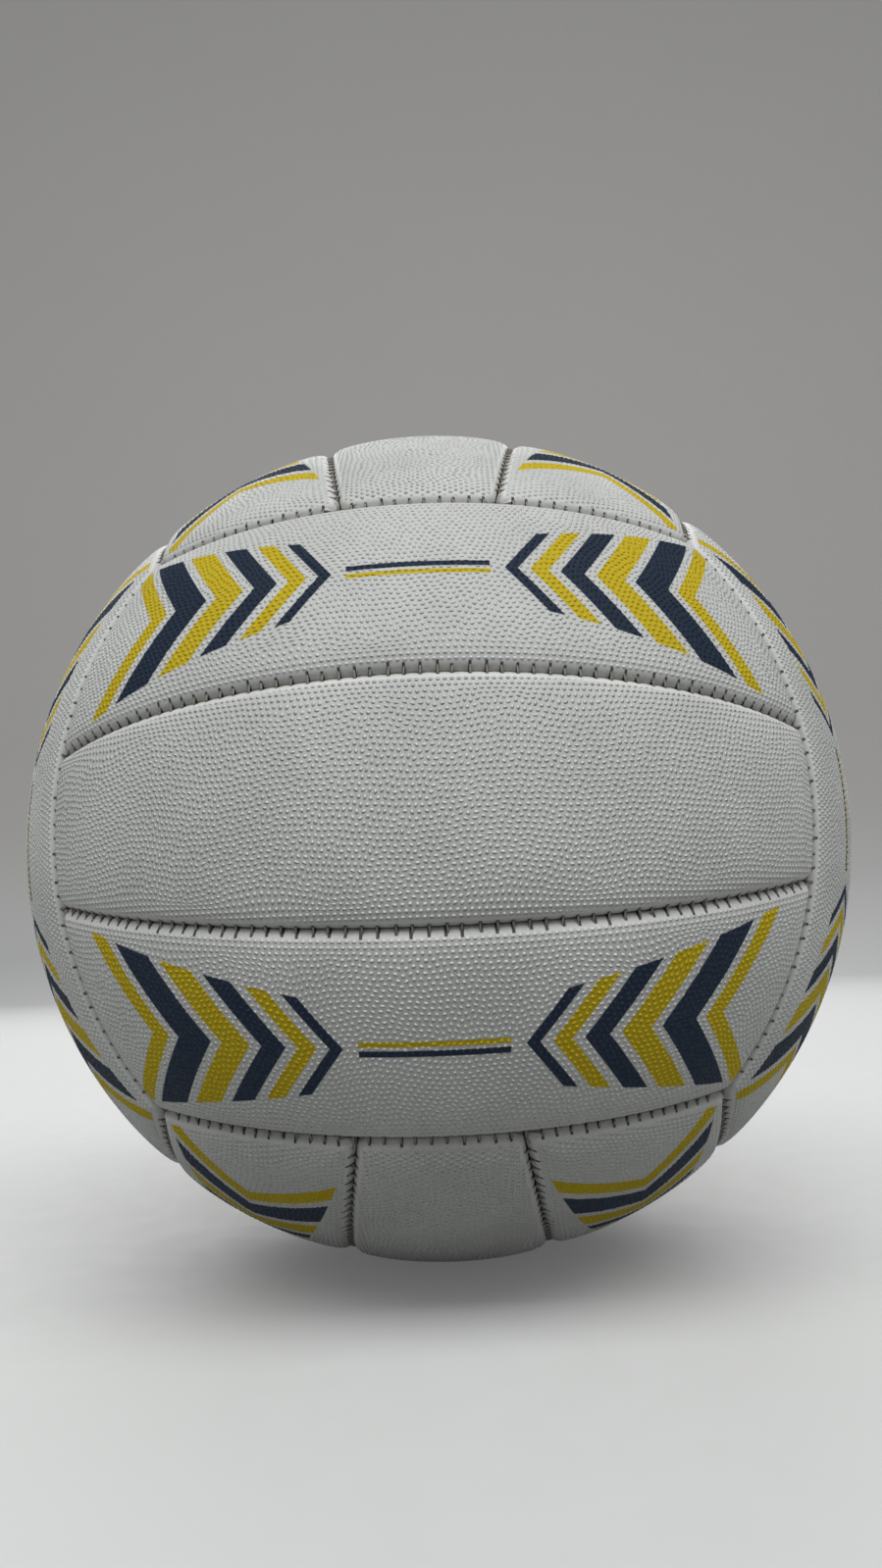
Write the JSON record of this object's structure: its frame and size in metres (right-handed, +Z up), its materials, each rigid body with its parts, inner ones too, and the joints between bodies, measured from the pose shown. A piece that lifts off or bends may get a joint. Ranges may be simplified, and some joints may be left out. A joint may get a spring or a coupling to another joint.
{
  "type": "netball",
  "caption": "Stitched ball of pebbled strip panels over a rubber bladder, with a needle valve, for passing and shooting in netball.",
  "frame": {"origin": "centre of the ball", "axes": "the six panel groups face the six row axes; -Y is the front group, whose strips run along X, +Y runs out of the needle valve, +Z is up"},
  "size_m": [0.2228, 0.2228, 0.2228],
  "materials": {
    "cover": "satin pebbled synthetic leather, off-white with navy and yellow print",
    "lining": "woven poly-cotton laminate",
    "thread": "waxed polyester thread",
    "bladder": "matt butyl rubber",
    "valve": "moulded off-white rubber"
  },
  "bodies": {
    "root": {"front_upper_panel": "cover", "front_middle_panel": "cover", "front_lower_panel": "cover", "back_upper_panel": "cover", "back_middle_panel": "cover", "back_lower_panel": "cover", "top_right_panel": "cover", "top_middle_panel": "cover", "top_left_panel": "cover", "bottom_right_panel": "cover", "bottom_middle_panel": "cover", "bottom_left_panel": "cover", "right_front_panel": "cover", "right_middle_panel": "cover", "right_rear_panel": "cover", "left_front_panel": "cover", "left_middle_panel": "cover", "left_rear_panel": "cover", "front_upper_lining": "lining", "front_middle_lining": "lining", "front_lower_lining": "lining", "back_upper_lining": "lining", "back_middle_lining": "lining", "back_lower_lining": "lining", "top_right_lining": "lining", "top_middle_lining": "lining", "top_left_lining": "lining", "bottom_right_lining": "lining", "bottom_middle_lining": "lining", "bottom_left_lining": "lining", "right_front_lining": "lining", "right_middle_lining": "lining", "right_rear_lining": "lining", "left_front_lining": "lining", "left_middle_lining": "lining", "left_rear_lining": "lining", "front_stitches": "thread", "back_stitches": "thread", "top_stitches": "thread", "bottom_stitches": "thread", "right_stitches": "thread", "left_stitches": "thread", "bladder": "bladder", "valve_seat": "valve", "valve_plug": "valve"}
  },
  "joints": []
}
